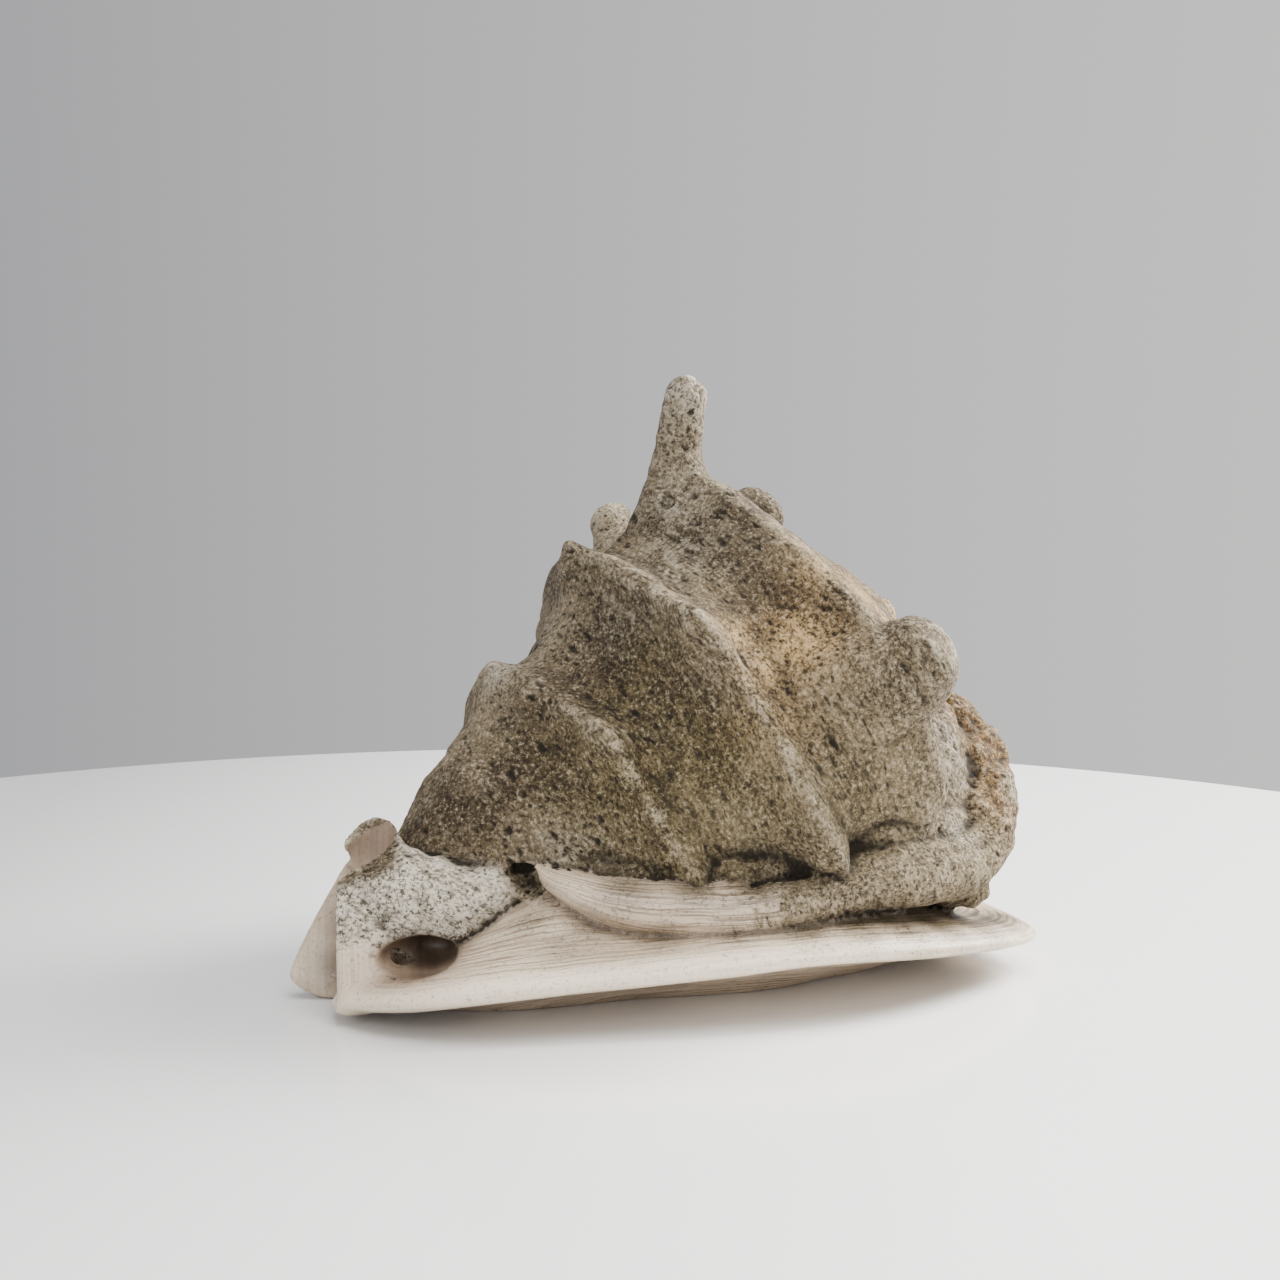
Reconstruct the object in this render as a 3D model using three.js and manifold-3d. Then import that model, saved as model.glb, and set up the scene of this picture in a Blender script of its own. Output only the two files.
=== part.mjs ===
// A horned helmet shell (a large Cassis sea snail shell) lying on its mouth.
// Units are millimetres and +Z is up. -X is the front end with the upturned siphon canal, +X the spire end,
// -Y the side of the broad parietal shield and +Y the side of the outer lip.
// The shell grew as one piece, so the model is one solid: rounded masses are joined, then the mouth,
// the siphon channel and the living chamber are cut out of them.
import * as THREE from "three";
import { mergeVertices } from "three/addons/utils/BufferGeometryUtils.js";
import Module from "manifold-3d";

const wasm = await Module();
wasm.setup();

// Driving dimensions: the coiling axis, the growth of the whorl and where its outline closes.
const APEX = new THREE.Vector3(88.9, -25, 130.4); // tip of the spire
const AXIS_FOOT = new THREE.Vector3(-95, -62, 27); // where the coiling axis leaves the front end
const GROWTH_PER_TURN = 1.45; // how much the whorl widens in one turn
const SEAM_DEG = 170; // where the last turn ends, under the shell
const SEAM_BLEND_DEG = 26; // over which the step between the first and last turn is closed
const RAMP_SHARE = 0.34; // share of the grid rows from the apex to the shoulder
const WHORL_GRID = [58, 32];
const BASE_GRID = [50, 15];
const FLOOR_Z = 0;

// The whorl's outline above the mouth, as [along the axis from the apex, out from the axis].
const RAMP = [[0, 0], [-9, 15], [-22, 35], [-36, 55], [-49, 72]];
const FLANK = [
  [-49, 72], [-68, 75], [-88, 73], [-104, 71], [-120, 62], [-135, 55], [-148, 52],
  [-163, 45], [-180, 37], [-194, 30], [-206, 21], [-213, 11], [-216, 0],
];

// Rounded spiral cords, as [along the axis, height, half width], and the knobs that stand on the whorl,
// as [angle round the axis, along the axis, height, half width].
const CORDS = [[-50, 3, 8], [-102, 7, 8.5], [-148, 6, 8.5], [-182, 2, 7]];
const KNOBS = [
  [2, -56, 9, 24], [-84, -46, 9, 24], [-118, -26, 7, 16],
  [4, -104, 6, 9], [-52, -102, 10, 12], [-114, -104, 6, 8], [60, -102, 8, 9], [112, -100, 7, 9],
  [6, -148, 2.5, 9], [-58, -144, 7, 10], [-110, -146, 6, 8], [62, -146, 6, 8],
  [-122, -62, 8, 8], [95, -56, 16, 14], [140, -56, 10, 12],
];
const SKIRT = { angle: -114, height: 0.3, above: 36, below: 16, forward: 7 }; // the flare over the old lip

// Tapering rods: each point is [x, y, z, radius] or [x, y, z, radius, radius across].
const HORNS = {
  top: [[8, -36, 148, 28], [4, -37, 166, 20], [1.8, -38, 178, 12.6], [1.5, -39, 188, 9.3], [2.6, -40, 197, 8.3],
    [3.8, -41, 207.5, 7.4]],
  side: [[22, -68, 94, 34, 30], [41, -94, 101, 27.5, 25], [55, -108, 107.5, 21.5, 19],
    [65, -112, 114, 16.5, 15]],
  back: [[-6, -6, 138, 22], [-11, 5, 154, 13.7], [-15, 9, 162, 9]],
  shoulder: [[18, -46, 142, 26], [23, -50, 155, 18], [27, -51, 164, 11]],
};
const OLD_LIP = [
  [-56, -92, 47, 1.5, 3], [-47, -99, 42, 5, 9], [-28, -104, 36, 8.5, 15], [0, -106, 34.5, 9.5, 17],
  [27, -106, 36.5, 9.5, 17], [52, -103, 42, 12, 16], [76, -96, 43, 12.5, 15], [91, -87, 43, 13, 13],
  [99, -81, 46, 12, 13], [105, -72, 54, 14], [109, -60, 64, 15], [110, -48, 76, 13.5], [104, -37, 89, 11],
  [92, -29, 100, 7],
];
const OLD_LIP_LOBE = [[84, -72, 35, 10], [93, -81, 35, 10], [97.5, -84.5, 34, 8]];
const OLD_WHORL = { centre: [64, -42, 62], radii: [49, 52, 52] };
const SPIRE_STUB = { centre: [82.5, -26, 127.5], radii: [6.8, 7.5, 7.5] };
const SHIELD_ROOT = { centre: [5, -63, 34], radii: [72, 44, 20] };
const CANAL = [
  [-112.5, -68, 61, 10, 8.5], [-110, -71, 51, 11, 10], [-106.5, -73, 43, 14, 13.5], [-98, -76, 34, 17],
  [-86, -77, 31, 16.5], [-74, -77, 34, 13], [-64, -74, 42, 10],
];
const CANAL_NEAR_WALL = [
  [-116, -74, 55, 7, 3], [-113, -79, 44, 9.5, 3.2], [-111, -85, 30, 11.5, 3.6], [-109, -93, 17, 14, 4],
  [-106, -99, 9, 18, 5],
];
const CANAL_FAR_WALL = [
  [-108, -63, 46, 7, 3], [-112, -61, 40, 8.5, 3.5], [-115.5, -60, 32, 9.5, 3.8], [-119, -61, 24, 10.5, 4.2],
  [-123.5, -64, 13, 12, 5], [-126, -66, 5, 13, 5.5],
];
// The slanting rim that ends the canal: everything above its plane is cut away, this far along it.
const CANAL_RIM = {
  point: [-111, -72, 52], facing: [-0.425, -0.46, 0.779], from: -40, to: 12, width: 50, height: 40,
};
const BASE_CENTRE = [-5, -45];
// The margin of the shield and the outer lip, as [x, y, z, half thickness, contact], going round once.
// Contact is how far out from the middle, as a share, the underside still touches the floor.
const BASE_RIM = [
  [-124, -95, 5.5, 4, 0.75], [-118, -109, 8, 3.5, 0.65], [-104, -122, 11, 3.5, 0.6],
  [-78, -133, 15.5, 3.5, 0.5], [-40, -134, 18, 3.5, 0.45], [-2, -134, 20.5, 3.5, 0.45],
  [38, -132, 22.5, 3.5, 0.45], [68, -124, 21, 3.5, 0.45], [98, -106, 17.5, 3.5, 0.45],
  [122, -84, 14, 3.5, 0.5], [131, -58, 12, 4, 0.55], [124, -20, 11, 5, 0.65],
  [104, 12, 10, 6, 0.8], [70, 34, 9, 7, 0.86], [25, 46, 9, 8, 0.88], [-25, 44, 9, 8, 0.88],
  [-72, 24, 8, 7, 0.86], [-108, -14, 7, 6, 0.84], [-126, -44, 6, 5, 0.84], [-128, -64, 5, 4, 0.84],
  [-122, -78, 5, 4, 0.8],
];
// How far the base's upper face climbs from its margin to its middle, on the shield's and the lip's side.
const BASE_RISE = { shield: 26, lip: 66, turnY: -50, overY: 70 };
const CALLUS = { x: -52, y: -90, height: 10, halfWidth: 22 }; // the swelling beside the canal

// Hollows.
const MOUTH = [
  [-112, -80, 4, 7, 26], [-92, -66, 6, 7, 26], [-56, -44, 10, 7, 30], [-10, -24, 12, 8, 32],
  [40, -10, 12, 8, 30], [80, -6, 10, 6, 22],
];
const CHANNEL = [
  [-111, -68, 70, 7.5, 6], [-110.5, -69.5, 58, 8, 6.4], [-113, -70.5, 48, 10, 7.2], [-119, -72, 36, 13.5, 7],
  [-121, -76, 24, 15, 7.5], [-122, -79, 12, 16, 8], [-122, -80, 0, 17, 8.5], [-122, -80, -14, 16, 8],
];
const UMBILICUS = [
  [-101, -118, 28, 13.5, 8], [-99, -107, 22.3, 13.5, 7.4], [-96, -97, 20.3, 13, 6.3], [-92, -88, 20, 10, 5],
  [-90, -83, 20, 6, 3.5],
];
// The living chamber winds back from the mouth; it narrows towards the front by `taper`.
const CHAMBER = { from: 166, to: -100, along: -96, out: 39, taper: 10, halfLength: 55, halfHeight: 17 };

const axis = APEX.clone().sub(AXIS_FOOT).normalize();
const dorsal = new THREE.Vector3(0, 0, 1).addScaledVector(axis, -axis.z).normalize();
const far = new THREE.Vector3().crossVectors(axis, dorsal);
if (far.y < 0) far.negate();

const radians = THREE.MathUtils.degToRad;
const smooth = (x) => THREE.MathUtils.smoothstep(x, 0, 1);
const growth = (degrees) => GROWTH_PER_TURN ** (degrees / 360);

// The point at an angle round the axis, a distance along it and a distance out from it.
function aroundAxis(degrees, along, out) {
  return APEX.clone()
    .addScaledVector(axis, along)
    .addScaledVector(dorsal, out * Math.cos(radians(degrees)))
    .addScaledVector(far, out * Math.sin(radians(degrees)));
}

// A sphere whose points are moved to place(u, v): u goes once round, v from one pole to the other.
function solidFrom(nu, nv, place) {
  const geometry = new THREE.SphereGeometry(1, nu, nv);
  const { uv, position } = geometry.attributes;
  for (let i = 0; i < position.count; i++) {
    const v = 1 - uv.getY(i);
    const u = v === 0 || v === 1 ? 0 : uv.getX(i) % 1;
    const p = place(u, v);
    position.setXYZ(i, p.x, p.y, p.z);
  }
  geometry.deleteAttribute("normal");
  geometry.deleteAttribute("uv");
  return toManifold(geometry);
}

function toManifold(geometry) {
  const merged = mergeVertices(geometry, 1e-3);
  const triVerts = new Uint32Array(merged.index.array);
  const vertProperties = merged.attributes.position.array;
  const make = () => new wasm.Manifold(new wasm.Mesh({ numProp: 3, vertProperties, triVerts }));
  const made = make();
  if (made.volume() > 0) return made;
  for (let i = 0; i < triVerts.length; i += 3) {
    [triVerts[i + 1], triVerts[i + 2]] = [triVerts[i + 2], triVerts[i + 1]];
  }
  return make();
}

// A rod along a smooth curve through the points, with round ends. Its radius follows the points too.
function rod(points, nu, nv, reference = new THREE.Vector3(1, 0, 0)) {
  const along = (pick) => new THREE.CatmullRomCurve3(points.map(pick), false, "catmullrom");
  const curve = along((p) => new THREE.Vector3(p[0], p[1], p[2]));
  const radii = along((p) => new THREE.Vector3(p[3], p[4] ?? p[3], 0));
  const capShare = 0.16;
  return solidFrom(nu, nv, (u, v) => {
    const t = THREE.MathUtils.clamp((v - capShare) / (1 - 2 * capShare), 0, 1);
    const before = Math.max(0, (capShare - v) / capShare);
    const after = Math.max(0, (v - 1 + capShare) / capShare);
    const swing = (Math.PI / 2) * (after - before);
    const tangent = curve.getTangent(t);
    const side = reference.clone().addScaledVector(tangent, -reference.dot(tangent)).normalize();
    const across = new THREE.Vector3().crossVectors(tangent, side);
    const size = radii.getPoint(t);
    return curve.getPoint(t)
      .addScaledVector(tangent, Math.sin(swing) * Math.min(size.x, size.y))
      .addScaledVector(side, size.x * Math.cos(swing) * Math.cos(2 * Math.PI * u))
      .addScaledVector(across, size.y * Math.cos(swing) * Math.sin(2 * Math.PI * u));
  });
}

// The whorl: one outline turned round the axis while it grows about the apex, with cords and knobs on it.
function whorl() {
  const ramp = new THREE.SplineCurve(RAMP.map((p) => new THREE.Vector2(...p)));
  const flank = new THREE.SplineCurve(FLANK.map((p) => new THREE.Vector2(...p)));
  return solidFrom(...WHORL_GRID, (u, v) => {
    const degrees = SEAM_DEG - 360 * (1 - u);
    const closing = smooth((degrees - (SEAM_DEG - SEAM_BLEND_DEG)) / SEAM_BLEND_DEG);
    const size = THREE.MathUtils.lerp(growth(degrees), growth(SEAM_DEG - 360), closing);
    const onFlank = (v - RAMP_SHARE) / (1 - RAMP_SHARE);
    const { x: along, y: out } = onFlank < 0 ? ramp.getPoint(v / RAMP_SHARE) : flank.getPoint(onFlank);
    const away = degrees - SKIRT.angle;
    const flare = Math.exp(-((away / (away > 0 ? SKIRT.above : SKIRT.below)) ** 2));
    let raised = 0;
    for (const [place, height, width] of CORDS) {
      raised += height * Math.exp(-(((along - place) / width) ** 2));
    }
    for (const [angle, place, height, width] of KNOBS) {
      const round = radians(degrees - angle) * out;
      raised += height * Math.exp(-(((along - place) ** 2 + round ** 2) / width ** 2));
    }
    const fade = Math.min(1, out / 20);
    const width = out * (1 + SKIRT.height * flare * fade) + raised * fade;
    return aroundAxis(degrees, along * size - SKIRT.forward * flare * fade, width * size);
  });
}

// The shield and outer lip: a rounded plate under the whorl whose underside comes down to the floor.
function base() {
  const pointsOf = (pick) => new THREE.CatmullRomCurve3(BASE_RIM.map(pick), true, "catmullrom");
  const rim = pointsOf((p) => new THREE.Vector3(p[0], p[1], p[2]));
  const form = pointsOf((p) => new THREE.Vector3(p[3], p[4], 0));
  return solidFrom(...BASE_GRID, (u, v) => {
    const edge = rim.getPoint(u);
    const { x: half, y: contact } = form.getPoint(u);
    const angle = Math.PI * (v - 0.5); // -90 degrees on top, 0 at the margin, 90 below
    const share = Math.cos(angle) ** 0.6;
    const lip = half * Math.min(1, 2.2 * Math.abs(Math.sin(angle)));
    const x = THREE.MathUtils.lerp(BASE_CENTRE[0], edge.x, share);
    const y = THREE.MathUtils.lerp(BASE_CENTRE[1], edge.y, share);
    const near = Math.exp(-(((x - CALLUS.x) ** 2 + (y - CALLUS.y) ** 2) / CALLUS.halfWidth ** 2));
    const lipSide = smooth((edge.y - BASE_RISE.turnY) / BASE_RISE.overY);
    const rise = THREE.MathUtils.lerp(BASE_RISE.shield, BASE_RISE.lip, lipSide);
    const z = angle < 0
      ? edge.z + lip + rise * (1 - share) + CALLUS.height * near
      : THREE.MathUtils.lerp(edge.z - lip, -2, Math.min(1, (1 - share) / (1 - contact)) ** 2);
    return new THREE.Vector3(x, y, z);
  });
}

function ellipsoid({ centre, radii }) {
  const geometry = new THREE.SphereGeometry(1, 18, 12).scale(...radii).translate(...centre);
  geometry.deleteAttribute("normal");
  geometry.deleteAttribute("uv");
  return toManifold(geometry);
}

// The hollow that the animal lived in: a flattened tunnel that winds back from the mouth over the top.
function chamber() {
  return solidFrom(16, 20, (u, v) => {
    const degrees = THREE.MathUtils.lerp(CHAMBER.from, CHAMBER.to, v);
    const size = growth(degrees);
    const open = Math.sin(Math.PI * v) ** 0.35;
    const lengthwise = open * Math.cos(2 * Math.PI * u);
    const outwards = open * Math.sin(2 * Math.PI * u);
    const along = CHAMBER.along + CHAMBER.halfLength * lengthwise;
    const out = CHAMBER.out + CHAMBER.taper * lengthwise + CHAMBER.halfHeight * outwards;
    return aroundAxis(degrees, along * size, out * size);
  });
}

// The block above the plane of the canal's rim.
function aboveCanalRim() {
  const facing = new THREE.Vector3(...CANAL_RIM.facing).normalize();
  const along = new THREE.Vector3().crossVectors(crosswise, facing).normalize();
  const across = new THREE.Vector3().crossVectors(facing, along);
  const place = new THREE.Matrix4().makeBasis(along, across, facing).setPosition(...CANAL_RIM.point);
  const { from, to, width, height } = CANAL_RIM;
  return box(to - from, width, height, [(from + to) / 2, 0, height / 2], place);
}

function box(x, y, z, centre, place = new THREE.Matrix4()) {
  const geometry = new THREE.BoxGeometry(x, y, z).translate(...centre).applyMatrix4(place);
  geometry.deleteAttribute("normal");
  geometry.deleteAttribute("uv");
  return toManifold(geometry);
}

const up = new THREE.Vector3(0, 0, 1);
const crosswise = new THREE.Vector3(0, 1, 0);

function helmetShell() {
  const masses = [
    base(), ellipsoid(OLD_WHORL), ellipsoid(SHIELD_ROOT), ellipsoid(SPIRE_STUB),
    rod(HORNS.top, 14, 14), rod(HORNS.side, 14, 14, up), rod(HORNS.back, 12, 10), rod(HORNS.shoulder, 12, 10),
    rod(OLD_LIP, 10, 28, up), rod(OLD_LIP_LOBE, 10, 8, up), rod(CANAL, 14, 14, up),
    rod(CANAL_NEAR_WALL, 14, 12), rod(CANAL_FAR_WALL, 12, 12),
  ];
  const hollows = [
    chamber(), rod(MOUTH, 10, 20, crosswise), rod(CHANNEL, 10, 14), rod(UMBILICUS, 12, 10), aboveCanalRim(),
  ];
  let shell = whorl();
  for (const mass of masses) shell = shell.add(mass);
  for (const hollow of hollows) shell = shell.subtract(hollow);
  return shell.subtract(box(400, 400, 40, [0, 0, FLOOR_Z - 20]));
}

function geometryOf(solid) {
  const { vertProperties, triVerts, numProp } = solid.getMesh();
  const geometry = new THREE.BufferGeometry();
  geometry.setAttribute("position", new THREE.BufferAttribute(new Float32Array(vertProperties), numProp));
  geometry.setIndex(new THREE.BufferAttribute(new Uint32Array(triVerts), 1));
  geometry.computeVertexNormals();
  return geometry;
}

// The part's own frame has its origin under the middle of the shell, on the floor.
const shellGeometry = geometryOf(helmetShell());
shellGeometry.computeBoundingBox();
const middle = shellGeometry.boundingBox.getCenter(new THREE.Vector3());
shellGeometry.translate(-middle.x, -middle.y, -shellGeometry.boundingBox.min.z);

const chalk = new THREE.MeshStandardMaterial({ color: 0xa59a82, roughness: 0.85, metalness: 0 });
chalk.name = "weathered shell";
const shell = new THREE.Mesh(shellGeometry, chalk);
shell.name = "helmet_shell";
const part = new THREE.Group();
part.add(shell);
export default part;
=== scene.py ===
import bpy
import numpy as np
from mathutils import Matrix, Vector


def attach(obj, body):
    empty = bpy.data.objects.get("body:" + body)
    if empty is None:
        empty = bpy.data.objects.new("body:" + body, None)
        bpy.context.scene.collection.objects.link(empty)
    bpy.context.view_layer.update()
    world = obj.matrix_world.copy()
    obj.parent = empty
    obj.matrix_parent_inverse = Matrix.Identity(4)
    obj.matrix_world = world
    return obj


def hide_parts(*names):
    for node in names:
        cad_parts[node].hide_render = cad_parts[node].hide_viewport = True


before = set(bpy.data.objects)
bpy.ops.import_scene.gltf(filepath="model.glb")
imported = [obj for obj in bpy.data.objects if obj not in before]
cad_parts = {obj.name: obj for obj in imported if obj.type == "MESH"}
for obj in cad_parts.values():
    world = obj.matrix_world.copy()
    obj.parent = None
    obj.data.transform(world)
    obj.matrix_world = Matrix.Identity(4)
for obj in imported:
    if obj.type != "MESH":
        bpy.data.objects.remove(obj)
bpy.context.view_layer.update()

# The table top: a round board a little over a metre across, sprayed with white lacquer and polished,
# so it mirrors the shell faintly. Its colour is darkened towards its left side as painted shade.
TABLE_CENTRE = (-0.027, 0.119)
TABLE_RADIUS = 0.544
TABLE_THICKNESS = 0.02
TABLE_SIDES = 256
SHADE_FROM_X, SHADE_TO_X = -0.30, 0.05
SHADED_WHITE, LIT_WHITE = 0.56, 0.96
angles = np.linspace(0.0, 2.0 * np.pi, TABLE_SIDES + 1)[:-1]
ring = np.stack([np.cos(angles), np.sin(angles), np.zeros(TABLE_SIDES)], axis=1) * TABLE_RADIUS
ring += [*TABLE_CENTRE, 0.0]
table_mesh = bpy.data.meshes.new("table_top")
table_mesh.from_pydata(
    np.concatenate([ring, ring - [0.0, 0.0, TABLE_THICKNESS]]),
    [],
    [list(range(TABLE_SIDES)), list(range(2 * TABLE_SIDES - 1, TABLE_SIDES - 1, -1))]
    + [
        [i, i + TABLE_SIDES, (i + 1) % TABLE_SIDES + TABLE_SIDES, (i + 1) % TABLE_SIDES]
        for i in range(TABLE_SIDES)
    ],
)
table_top = bpy.data.objects.new("table_top", table_mesh)
bpy.context.collection.objects.link(table_top)
lacquer = bpy.data.materials.new("white lacquer")
lacquer.use_nodes = True
lacquer_shader = lacquer.node_tree.nodes["Principled BSDF"]
table_nodes, table_links = lacquer.node_tree.nodes, lacquer.node_tree.links
across_table = table_nodes.new("ShaderNodeSeparateXYZ")
table_links.new(table_nodes.new("ShaderNodeTexCoord").outputs["Object"], across_table.inputs["Vector"])
# Painted shade: the lacquer's colour is darkened towards the left, away from the window.
painted_table_shade = table_nodes.new("ShaderNodeMapRange")
painted_table_shade.inputs["From Min"].default_value = SHADE_FROM_X
painted_table_shade.inputs["From Max"].default_value = SHADE_TO_X
painted_table_shade.inputs["To Min"].default_value = SHADED_WHITE
painted_table_shade.inputs["To Max"].default_value = LIT_WHITE
table_links.new(across_table.outputs["X"], painted_table_shade.inputs["Value"])
table_links.new(painted_table_shade.outputs["Result"], lacquer_shader.inputs["Base Color"])
lacquer_shader.inputs["Roughness"].default_value = 0.13
table_mesh.materials.append(lacquer)

# The room: plain pale walls, a cool grey on the left that brightens to a warm white on the window's side.
WALL_LEFT, WALL_RIGHT = (0.44, 0.442, 0.46, 1.0), (0.86, 0.85, 0.84, 1.0)
room = bpy.data.worlds.new("room")
room.use_nodes = True
room_nodes, room_links = room.node_tree.nodes, room.node_tree.links
direction = room_nodes.new("ShaderNodeSeparateXYZ")
room_links.new(room_nodes.new("ShaderNodeTexCoord").outputs["Generated"], direction.inputs["Vector"])
wall = room_nodes.new("ShaderNodeValToRGB")
wall.color_ramp.elements[0].position = 0.0
wall.color_ramp.elements[0].color = WALL_LEFT
wall.color_ramp.elements[1].position = 1.0
wall.color_ramp.elements[1].color = WALL_RIGHT
slope = room_nodes.new("ShaderNodeMath")
slope.operation = "MULTIPLY_ADD"
slope.inputs[1].default_value = 1.25
slope.inputs[2].default_value = 0.30
room_links.new(direction.outputs["X"], slope.inputs[0])
room_links.new(slope.outputs["Value"], wall.inputs["Fac"])
room_links.new(wall.outputs["Color"], room_nodes["Background"].inputs["Color"])
room_nodes["Background"].inputs["Strength"].default_value = 1.0
bpy.context.scene.world = room

# The light: a window high on the right and a little behind, a broad pale ceiling, and a weak return from
# the front left.
LIT_POINT = Vector((0.0, 0.0, 0.08))
for name, place, size, power, colour in (
    ("window", (1.15, 0.20, 0.95), 0.7, 78.0, (1.0, 0.975, 0.94)),
    ("ceiling", (0.25, -0.45, 1.7), 1.5, 44.0, (1.0, 0.985, 0.96)),
    ("return", (-0.9, -1.2, 0.45), 1.2, 13.0, (0.94, 0.96, 1.0)),
):
    lamp = bpy.data.lights.new(name, "AREA")
    lamp.size = size
    lamp.energy = power
    lamp.color = colour
    holder = bpy.data.objects.new(name, lamp)
    bpy.context.collection.objects.link(holder)
    holder.location = place
    holder.rotation_euler = (LIT_POINT - Vector(place)).to_track_quat("-Z", "Y").to_euler()

# The camera stands low in front of the shield, turned a little to the right.
EYE = (-0.1104, -0.5792, 0.150)
EYE_TURN_DEG = -10.0
EYE_TILT_DEG = 87.0
eye = bpy.data.objects.new("eye", bpy.data.cameras.new("eye"))
eye.data.lens = 45.0
eye.data.sensor_width = 36.0
eye.data.clip_start = 0.01
eye.location = EYE
eye.rotation_euler = (np.radians(EYE_TILT_DEG), 0.0, np.radians(EYE_TURN_DEG))
bpy.context.collection.objects.link(eye)
bpy.context.scene.camera = eye

# The helmet shell: one coiled tube of lime, laid down by the animal, with blunt horns on its shoulder, a
# broad smooth shield and outer lip round the mouth, the roll of an older lip, and an upturned canal. It grew
# as one piece, so it is one piece here. Lengths are in millimetres until the mesh is finished.
MM = 0.001
FRAME_SHIFT = np.array([3.8609, 36.2581, 0.0])
APEX = np.array([88.9, -25.0, 130.4])
AXIS_FOOT = np.array([-95.0, -62.0, 27.0])
GROWTH_PER_TURN = 1.45
axis = (APEX - AXIS_FOOT) / np.linalg.norm(APEX - AXIS_FOOT)
dorsal = np.array([0.0, 0.0, 1.0]) - axis * axis[2]
dorsal /= np.linalg.norm(dorsal)
far = np.cross(axis, dorsal)
far *= np.sign(far[1])


def bell(distance, width):
    """A smooth hump: e to the power of minus (distance / width) squared."""
    return np.exp(-((distance / width) ** 2))


def ease(x):
    """A smooth step from 0 to 1: 3x^2 - 2x^3 between x = 0 and x = 1."""
    x = np.clip(x, 0.0, 1.0)
    return x * x * (3.0 - 2.0 * x)


def through(points, t, closed=False):
    """The smooth curve through the points at t (0 to 1): on each span a cubic whose end slopes are half the
    difference of the neighbouring points."""
    points = np.asarray(points, dtype=float)
    if closed:
        padded = np.concatenate([points[-1:], points, points[:2]])
    else:
        padded = np.concatenate([2 * points[:1] - points[1:2], points, 2 * points[-1:] - points[-2:-1]])
    spans = len(padded) - 3
    place = np.clip(np.asarray(t) * spans, 0.0, spans - 1e-9)
    k = place.astype(int)
    s = (place - k)[..., None]
    a, b, c, d = padded[k], padded[k + 1], padded[k + 2], padded[k + 3]
    square, cube = 2 * a - 5 * b + 4 * c - d, 3 * b - a - 3 * c + d
    return 0.5 * (2 * b + (c - a) * s + square * s**2 + cube * s**3)


surfaces = []  # each closed surface that takes part: its points, its faces and its finish


def closed_surface(points, finish):
    """Joins a grid of points, rows from pole to pole and columns once round, into one closed surface. Finish
    is (polish, whiteness, place across the growth lines), for the whole surface or for each grid point."""
    rows, columns = points.shape[:2]
    body = points[1:-1].reshape(-1, 3)
    start, end = len(body), len(body) + 1
    index = np.arange((rows - 2) * columns).reshape(rows - 2, columns)
    turned = np.roll(index, -1, axis=1)
    quads = np.stack([index[:-1], index[1:], turned[1:], turned[:-1]], axis=-1).reshape(-1, 4)
    caps = [np.stack([np.full(columns, start), index[0], turned[0]], axis=1)]
    caps.append(np.stack([index[-1], np.full(columns, end), turned[-1]], axis=1))
    finish = np.broadcast_to(np.asarray(finish, dtype=float), (rows, columns, 3))
    finish = np.concatenate([finish[1:-1].reshape(-1, 3), finish[0, :1], finish[-1, :1]])
    vertices = np.concatenate([body, points[0, :1], points[-1, :1]])
    return vertices, quads, np.concatenate(caps), finish


def rod(points, rows, columns, up):
    """A rod along the curve through points [x, y, z, radius, radius across] with half-round ends: the centre
    line plus the radii times the cosine and sine of the turn, both shrinking to nothing at the ends."""
    points = np.array([list(p) + [p[3]] * (5 - len(p)) for p in points], dtype=float)
    v = np.linspace(0.0, 1.0, rows)
    cap = 0.16
    t = np.clip((v - cap) / (1 - 2 * cap), 0.0, 1.0)
    swing = 0.5 * np.pi * (np.clip((v - 1 + cap) / cap, 0, None) - np.clip((cap - v) / cap, 0, None))
    on = through(points, t)
    ahead, behind = (through(points[:, :3], np.clip(t + step, 0, 1)) for step in (1e-3, -1e-3))
    tangent = ahead - behind
    tangent /= np.linalg.norm(tangent, axis=1, keepdims=True)
    side = up - tangent * (tangent @ up)[:, None]
    side /= np.linalg.norm(side, axis=1, keepdims=True)
    across = np.cross(tangent, side)
    turn = np.linspace(0.0, 2 * np.pi, columns + 1)[:-1]
    reach = np.minimum(on[:, 3], on[:, 4]) * np.sin(swing)
    centre = on[:, :3] + tangent * reach[:, None]
    wide = (on[:, 3] * np.cos(swing))[:, None, None]
    deep = (on[:, 4] * np.cos(swing))[:, None, None]
    turn = turn[None, :, None]
    outwards = side[:, None] * wide * np.cos(turn) + across[:, None] * deep * np.sin(turn)
    return centre[:, None] + outwards


def round_axis(degrees, along, out):
    """The point at an angle round the coiling axis, a distance along it from the apex and a distance out."""
    turn = np.radians(degrees)[..., None]
    return (
        APEX
        + axis * along[..., None]
        + out[..., None] * (dorsal * np.cos(turn) + far * np.sin(turn))
    )


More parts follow.
